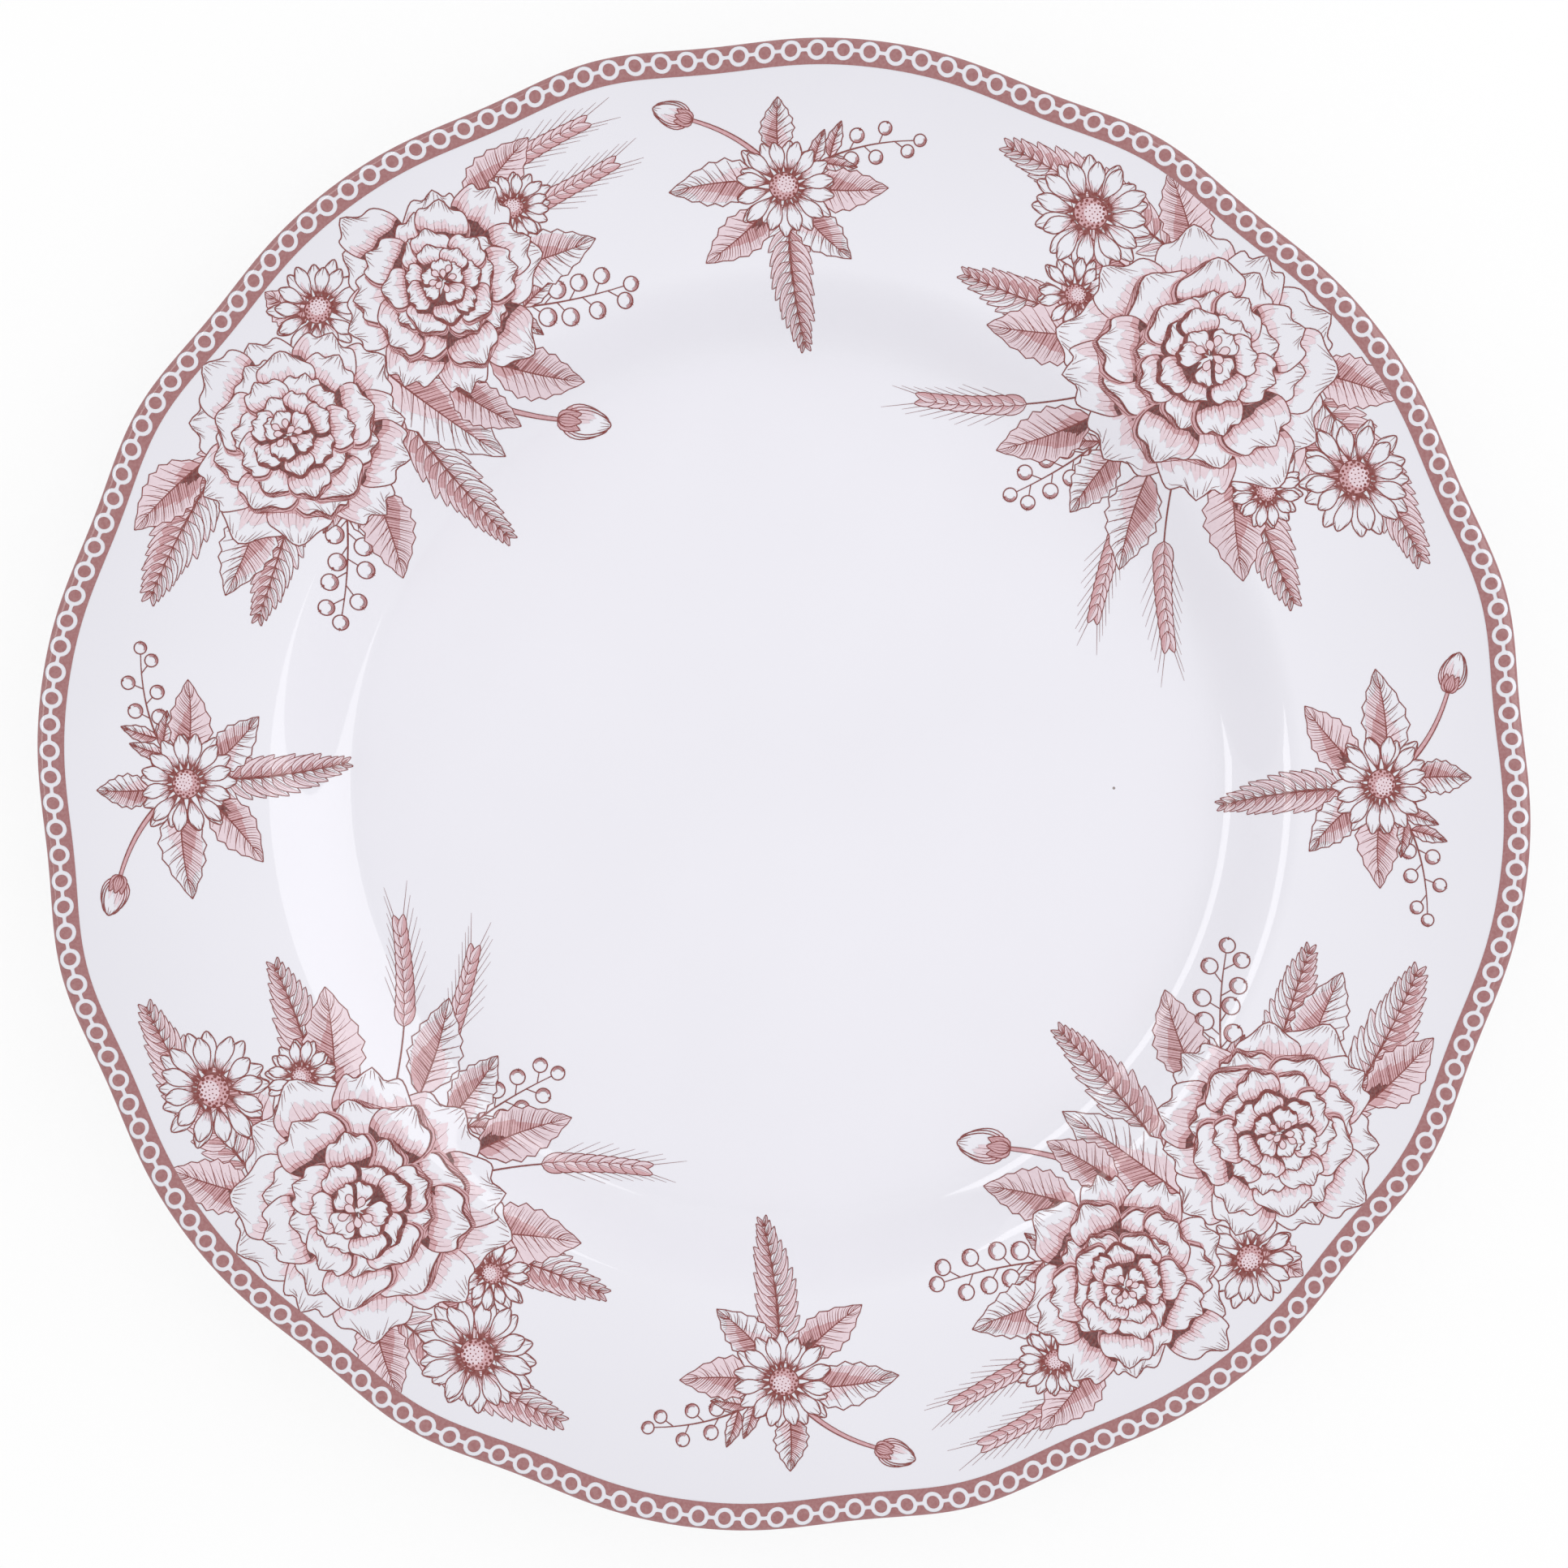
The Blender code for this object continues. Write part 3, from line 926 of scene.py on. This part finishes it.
def ear(pen, base, angle, length, bend):
    """An ear of grass: paired grains with long beards on a thin stalk."""
    r = pen.random
    axis = Blade(base, angle, length, length, 0.5, bend)
    pen.line(axis.run(0, 0.98, 18), EAR_STALK)
    for k in range(9):
        t = 0.46 + 0.52 * k / 8
        joint = axis.at(t, 0.0)
        heading = axis.heading(t - 0.03, t)
        for side in (1, -1):
            way = heading + side * (0.42 - 0.20 * k / 8)
            beard = joint + 0.34 * length * unit(way) * (0.8 + 0.2 * r.random())
            pen.line(np.linspace(joint, beard, 6), BEARD)
            blade = Blade(joint, way, 0.135 * length, 0.055 * length, 0.45, 0, 0.7, steps=9)
            pen.fill(blade.outline, PALE)
            pen.fill(blade.part(0.05, 0.95, -1, -0.1, 5), MID)
            pen.line(blade.run(0.1, 0.9, 4, 0.1), GRAIN_CREASE)
            pen.line(blade.outline, GRAIN_EDGE)


# Designs


def spot(u, v):
    """A place along and across the rim, seen at the top of the plate, and the turn of the rim there."""
    turn = math.pi / 2 - u / PRINT_RADIUS
    return (PRINT_RADIUS + v) * unit(turn), turn - math.pi / 2


def along(u, v, degrees):
    """A place on the rim with a heading measured from the rim's own direction there."""
    at, turn = spot(u, v)
    return at, turn + math.radians(degrees)


def draw(pen, rows):
    """The motifs of a table, each at its place on the rim."""
    for motif, u, v, degrees, *values in rows:
        motif(pen, *along(u, v, degrees), *values)


def add_daisy(pen, u, v, radius, turn):
    """A ray flower on the rim, a little flattened across it."""
    at, lean = spot(u, v)
    daisy(pen, at, radius, turn + lean, 0.9, lean)


def crop_at_band(pen, half_length):
    """Leaves the border band and what is outside it clear."""
    inner = RIM_RADIUS - BAND_WIDTH
    turns = math.pi / 2 - np.linspace(-half_length, half_length, CROP_STEPS) / PRINT_RADIUS
    edge = MM_PER_M * (inner + scallop_share(inner) * scallop(turns)) - BAND_GAP
    way = units(turns)
    pen.fill(np.vstack([edge[:, None] * way, (PRINT_RADIUS + CROP_REACH) * way[::-1]]), BARE)


# Each row has a motif, its place along and across the rim, its heading in degrees, and for a
# frond: length, bend, width, pairs of leaflets, side in the dark
# ear: length, bend
# twig of berries: length, bend, number, size
# leaf: length, width, bend, 2 for a dark one, and teeth if not the usual number
SPRAY_ONE = (
    (frond, 17, 7, 4, 36, -0.14, 12, 17, 1),
    (frond, -17, 7, 176, 36, 0.14, 12, 17, -1),
    (frond, 16, -9, -24, 31, 0.10, 11, 15, 1),
    (frond, -16, -9, 204, 31, -0.10, 11, 15, -1),
    (ear, 11, -20, -50, 31, 0.16),
    (ear, -11, -20, 230, 31, -0.16),
    (ear, 7, -22, -70, 29, 0.14),
    (berries, -4, -24, 262, 20, -0.12, 7, 1.6),
    (leaf, 14, 9, 40, 16, 9, -0.1, 2),
    (leaf, -14, 9, 140, 16, 9, 0.1, 2),
    (leaf, 22, 0, 2, 20, 10, 0.12, 1),
    (leaf, -22, 0, 178, 20, 10, -0.12, 1),
    (leaf, 20, -13, -36, 20, 10.5, 0.12, 2),
    (leaf, -20, -13, 216, 20, 10.5, -0.12, 2),
    (leaf, 9, -25, -62, 18, 9.5, 0.1, 1),
    (leaf, -10, -25, 244, 18, 9.5, -0.1, 2),
    (leaf, 0, -26, 272, 14, 8, 0.1, 1),
)
SPRAY_TWO_BACK = (
    (ear, 26, 8, 8, 30, -0.12),
    (ear, 28, 2, -6, 29, 0.04),
    (frond, -26, 5, 178, 32, 0.10, 12, 16, -1),
    (frond, -24, -8, 200, 28, -0.06, 10, 14, -1),
    (berries, -20, -15, 222, 24, -0.16, 8, 1.7),
    (berries, 26, -11, -30, 24, 0.14, 8, 1.7),
    (frond, 0, -10, 257, 35, 0.12, 11, 18, -1),
)
SPRAY_TWO_LEAVES = (
    (leaf, -2, 8, 92, 9, 7, 0.1, 2),
    (leaf, -32, 8, 158, 17, 9, 0.1, 2),
    (leaf, 32, 6, 28, 17, 9, -0.1, 2),
    (leaf, -33, -5, 192, 18, 9.5, -0.1, 1),
    (leaf, 32, -6, -16, 18, 9.5, 0.1, 1),
    (leaf, -18, -20, 238, 17, 9, -0.1, 2),
    (leaf, 20, -19, -50, 17, 9, 0.1, 2),
    (leaf, 2, -9, 277, 25, 11, 0.08, 1),
    (leaf, 10, -18, -74, 14, 7.5, 0.1, 2),
)
SPRIG_BACK = (
    (frond, 1, -6, 268, 26, 0.16, 9.5, 14, 1),
    (berries, 4, -1, 34, 19, -0.30, 6, 1.4),
)
SPRIG_LEAVES = (
    (leaf, -4, -3, 176, 17, 8, 0.16, 1, 6),
    (leaf, 4, -4, -8, 15, 7.5, 0.16, 2, 6),
    (leaf, 3, -8, -50, 13, 7, 0.14, 1, 6),
    (leaf, -3, -8, 226, 15, 7.5, -0.12, 2, 6),
    (leaf, -1, 2, 96, 10, 6, -0.1, 1, 6),
)


def spray_one():
    """A large flower between two pairs of ray flowers, with fronds along the rim."""
    pen = Pen(seed=11)
    draw(pen, SPRAY_ONE)
    for u, v, radius in ((33, 5, 11.5), (-33, 5, 11.5), (27, -10, 7.5), (-28, -9, 7.5)):
        add_daisy(pen, u, v, radius, turn=0.3)
    dahlia(pen, spot(0, -5)[0], radius=25, turn=0.2, lean=(0.0, 0.10))
    crop_at_band(pen, SPRAY_CROP)
    return pen


def spray_two():
    """Two large flowers with ray flowers, a bud, leaves and twigs of berries."""
    pen = Pen(seed=23)
    draw(pen, SPRAY_TWO_BACK)
    at, heading = along(9, -18, -62)
    path = Blade(at, heading, length=20, width=4, peak=0.5, bend=0.14).run(0, 1, 12)
    stem(pen, path, start=1.1, end=0.7)
    bud(pen, path[-1], heading + 0.26, length=10)
    draw(pen, SPRAY_TWO_LEAVES)
    add_daisy(pen, 1, 8, radius=9.5, turn=0.0)
    add_daisy(pen, 39, 3, radius=7.5, turn=0.0)
    dahlia(pen, spot(20, -3)[0], radius=19, turn=0.9, lean=(0.10, 0.04))
    dahlia(pen, spot(-18, -4)[0], radius=20.5, turn=0.0, lean=(-0.08, 0.08))
    crop_at_band(pen, SPRAY_CROP)
    return pen


def sprig():
    """A ray flower with a bud on a bent stem, leaves, a twig of berries and a frond."""
    pen = Pen(seed=37)
    draw(pen, SPRIG_BACK)
    at, heading = along(-3, 0, 132)
    path = Blade(at, heading, length=15, width=4, peak=0.5, bend=0.30).run(0, 1, 12)
    stem(pen, path, start=0.9, end=0.6)
    tip = path[-1] - path[-2]
    bud(pen, path[-1], math.atan2(tip[1], tip[0]), length=7.6)
    draw(pen, SPRIG_LEAVES)
    daisy(pen, spot(0, -4)[0], radius=9.8, turn=0.5, squash=0.94)
    crop_at_band(pen, SPRIG_CROP)
    return pen


# Sheets cut from the drawings


def guide_points(low, high):
    """Extra points over a drawing, close together on the curved shoulder, so that it lies on the face."""
    points = []
    for r in np.concatenate([np.arange(*g) for g in (SHOULDER_GUIDES, WELL_GUIDES, RIM_GUIDES)]):
        angles = np.arange(0, 2 * np.pi, GUIDE_SPACING / r) + GUIDE_SKEW * r
        points.append(r * units(angles))
    points = np.vstack(points)
    inside = np.all((points > low) & (points < high), axis=1)
    return points[inside]


def cut_sheet(pen):
    """The drawing as triangles without overlaps: flat points, faces and the tone seen on top of each."""
    pen.drop_hidden()
    low, high = pen.boxes()
    given = [Vector(p) for p in pen.points]
    found = delaunay_2d_cdt(given, [], pen.faces, INSIDE_SHAPES, SNAP, True)
    flat = np.array([tuple(p) for p in found[0]])
    faces = np.array([f for f, under in zip(found[2], found[5]) if under])
    stacks = [under for under in found[5] if under]
    counts = np.array([len(under) for under in stacks])
    shapes = np.concatenate(stacks)
    middles = np.repeat(flat[faces].mean(axis=1), counts, axis=0)
    near = np.all((low[shapes] < middles) & (middles < high[shapes]), axis=1)
    starts = np.concatenate([[0], np.cumsum(counts)[:-1]])
    top = np.maximum.reduceat(np.where(near, shapes, -1), starts)
    tones = np.where(top < 0, BARE, np.array(pen.tones)[top])
    inked = tones != BARE
    return merged(flat, faces[inked], tones[inked])


def tone_edges(faces, tones):
    """The edges with ink of one tone on one side only, each once."""
    sides = np.sort(faces[:, [0, 1, 1, 2, 2, 0]].reshape(-1, 2), axis=1)
    shades = np.repeat(tones, 3)
    order = np.lexsort((shades, sides[:, 1], sides[:, 0]))
    sides, shades = sides[order], shades[order]
    twin = np.all(sides[1:] == sides[:-1], axis=1) & (shades[1:] == shades[:-1])
    kept = np.ones(len(sides), dtype=bool)
    kept[1:] &= ~twin
    kept[:-1] &= ~twin
    return np.unique(sides[kept], axis=0)


def merged(flat, faces, tones):
    """The same areas cut anew along the edges where the tone changes, in fewer and larger triangles."""
    edges = tone_edges(faces, tones)
    used, places = np.unique(edges, return_inverse=True)
    rim = flat[used]
    guides = guide_points(rim.min(axis=0), rim.max(axis=0))
    given = [Vector(p) for p in np.vstack([rim, guides])]
    found = delaunay_2d_cdt(given, places.reshape(edges.shape).tolist(), [], WHOLE_HULL, SNAP, False)
    points = np.array([tuple(p) for p in found[0]])
    cut = np.array(found[2])
    middles = points[cut].mean(axis=1)
    search = BVHTree.FromPolygons([(x, y, 0.0) for x, y in flat], faces.tolist())
    hits = [search.find_nearest((x, y, 0.0), 2 * SNAP)[2] for x, y in middles]
    inked = np.array([hit is not None for hit in hits])
    shades = tones[[hit for hit in hits if hit is not None]]
    used, places = np.unique(cut[inked], return_inverse=True)
    return points[used], places.reshape(-1, 3), shades


def add_print(name, node, sheet, angle, inks):
    """A drawing laid on the rim at an angle from the right of the plate."""
    flat, faces, tones = sheet
    points = laid(turned_about(flat, angle - math.pi / 2), PRINT_LIFT)
    made = add_object(name, points, faces.tolist(), inks, tones - 1, True)
    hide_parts(node)


def add_prints():
    """The sprays of two kinds in turn, with a sprig after each."""
    inks = [ink(*given) for given in DRAWING_INKS]
    sheets = [cut_sheet(spray_one()), cut_sheet(spray_two())]
    small = cut_sheet(sprig())
    spacing = 2 * math.pi / SPRAY_COUNT
    for k in range(SPRAY_COUNT):
        number = k + 1
        angle = spacing / 2 + k * spacing
        sheet = sheets[k % 2]
        add_print("rim_spray_%d" % number, "spray_print_%d" % number, sheet, angle, inks)
        angle += spacing / 2
        add_print("rim_sprig_%d" % number, "sprig_print_%d" % number, small, angle, inks)


# Border


def add_border():
    """The band with its chain of rings: ink outside and inside the chain and in each ring."""
    columns = RING_COUNT * BAND_STEPS
    angles = SCALLOP_TURN + 2 * np.pi * np.arange(columns) / columns
    pitch = 2 * np.pi * (RIM_RADIUS - CHAIN_INSET) / RING_COUNT
    x = (np.arange(columns) % BAND_STEPS / BAND_STEPS - 0.5) * pitch
    bulge = np.sqrt(np.maximum(RING_OUTER**2 - x**2, 0))
    bulge = np.maximum(bulge, LINK_HALF)
    points, faces = [], []

    def strip(first, last, count):
        rows = []
        for k in range(count + 1):
            start = sum(len(p) for p in points)
            rows.append(range(start, start + columns))
            inset = first + (last - first) * k / count
            points.append(on_face(RIM_RADIUS - inset, angles, PRINT_LIFT))
        faces.extend(faces_between(rows))

    strip(np.full(columns, BAND_OUTER_INSET), CHAIN_INSET - bulge, OUTER_ROWS)
    strip(CHAIN_INSET + bulge, np.full(columns, BAND_WIDTH), INNER_ROWS)
    ring = np.linspace(0, 2 * np.pi, RING_CORNERS, endpoint=False)
    for k in range(RING_COUNT):
        middle = SCALLOP_TURN + 2 * np.pi * (k + 0.5) / RING_COUNT
        outer = sum(len(p) for p in points)
        inner = outer + RING_CORNERS
        hub = inner + RING_CORNERS
        for share in (1.0, 0.5, 0.0):
            at = RING_INNER * share
            inset = CHAIN_INSET - at * np.sin(ring)
            points.append(on_face(RIM_RADIUS - inset, middle - at * np.cos(ring) / RIM_RADIUS, PRINT_LIFT))
        points[-1] = points[-1][:1]
        pairs = [(c, (c + 1) % RING_CORNERS) for c in range(RING_CORNERS)]
        faces.extend((outer + c, outer + n, inner + n, inner + c) for c, n in pairs)
        faces.extend((inner + c, inner + n, hub) for c, n in pairs)
    made = add_object("border_band", np.vstack(points), faces, [ink(*BAND_INK)], None, True)
    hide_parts("border_print")


# Stage


def seen_directly(tree):
    """One where the camera sees a surface, also in a mirror image or through glass, and zero elsewhere."""
    rays = tree.nodes.new("ShaderNodeLightPath")
    total = rays.outputs["Is Camera Ray"]
    for kind in ("Is Glossy Ray", "Is Transmission Ray"):
        total = maths(tree, "MAXIMUM", total, rays.outputs[kind])
    return total


def add_floor():
    """A wide pale floor that shows white to the camera and keeps the plate's soft shadow."""
    made, tree, shader = new_material("floor")
    feed(shader, {"Base Color": FLOOR_COLOUR, "Roughness": FLOOR_ROUGHNESS})
    glow = tree.nodes.new("ShaderNodeEmission")
    mix = tree.nodes.new("ShaderNodeMixShader")
    share = maths(tree, "MULTIPLY", seen_directly(tree), FLOOR_GLOW)
    feed(mix, {0: share, 1: shader.outputs[0], 2: glow.outputs[0]})
    feed(tree.nodes["Material Output"], {"Surface": mix.outputs[0]})
    data = bpy.data.meshes.new("floor")
    signs = ((-1, -1), (1, -1), (1, 1), (-1, 1))
    corners = [(FLOOR_HALF * x, FLOOR_HALF * y, FLOOR_LEVEL) for x, y in signs]
    data.from_pydata(corners, [], [(0, 1, 2, 3)])
    data.materials.append(made)
    floor = placed("floor", data)


def add_softbox(name, azimuth, elevation, distance, width, height, radiance, gloss_only=True):
    """A soft lamp that faces the plate, placed by its azimuth and its angle above the table."""
    lamp = bpy.data.lights.new(name, "AREA")
    lamp.shape = "RECTANGLE"
    lamp.size, lamp.size_y = width, height
    lamp.energy = radiance * math.pi * width * height
    made = placed(name, lamp)
    a, e = math.radians(azimuth), math.radians(elevation)
    made.location = distance * Vector((math.cos(e) * math.cos(a), math.cos(e) * math.sin(a), math.sin(e)))
    made.rotation_euler = made.location.to_track_quat("Z", "Y").to_euler()
    made.visible_diffuse = not gloss_only


def add_world():
    """Even white light from all round, white where the camera sees past the floor."""
    world = bpy.data.worlds.new("studio")
    world.use_nodes = True
    tree = world.node_tree
    level = ranged(tree, seen_directly(tree), 0.0, 1.0, WORLD_LIGHT, 1.0)
    feed(tree.nodes["Background"], {"Color": (1, 1, 1, 1), "Strength": level})
    bpy.context.scene.world = world


def add_camera():
    """A camera straight above the plate, framed as the photograph is."""
    data = bpy.data.cameras.new("camera")
    data.sensor_width = SENSOR_WIDTH
    data.lens = LENS
    made = placed("camera", data)
    made.location = (0.0, 0.0, FRAME_WIDTH * LENS / SENSOR_WIDTH + LIP_LEVEL + LIP_RADIUS)
    bpy.context.scene.camera = made


bpy.context.scene.view_settings.view_transform = "Standard"
add_camera()
add_world()
add_softbox("softbox_right", 24, 37, distance=1.0, width=0.95, height=1.25, radiance=0.40, gloss_only=False)
add_softbox("shine_right", 24, 37, distance=1.2, width=1.14, height=1.50, radiance=1.5)
add_softbox("shine_left", 150, 24, distance=1.0, width=1.25, height=0.60, radiance=0.35)
add_softbox("strip_left", 150, 38, distance=1.3, width=1.50, height=0.36, radiance=2.8)
add_floor()
add_china()
add_border()
add_prints()
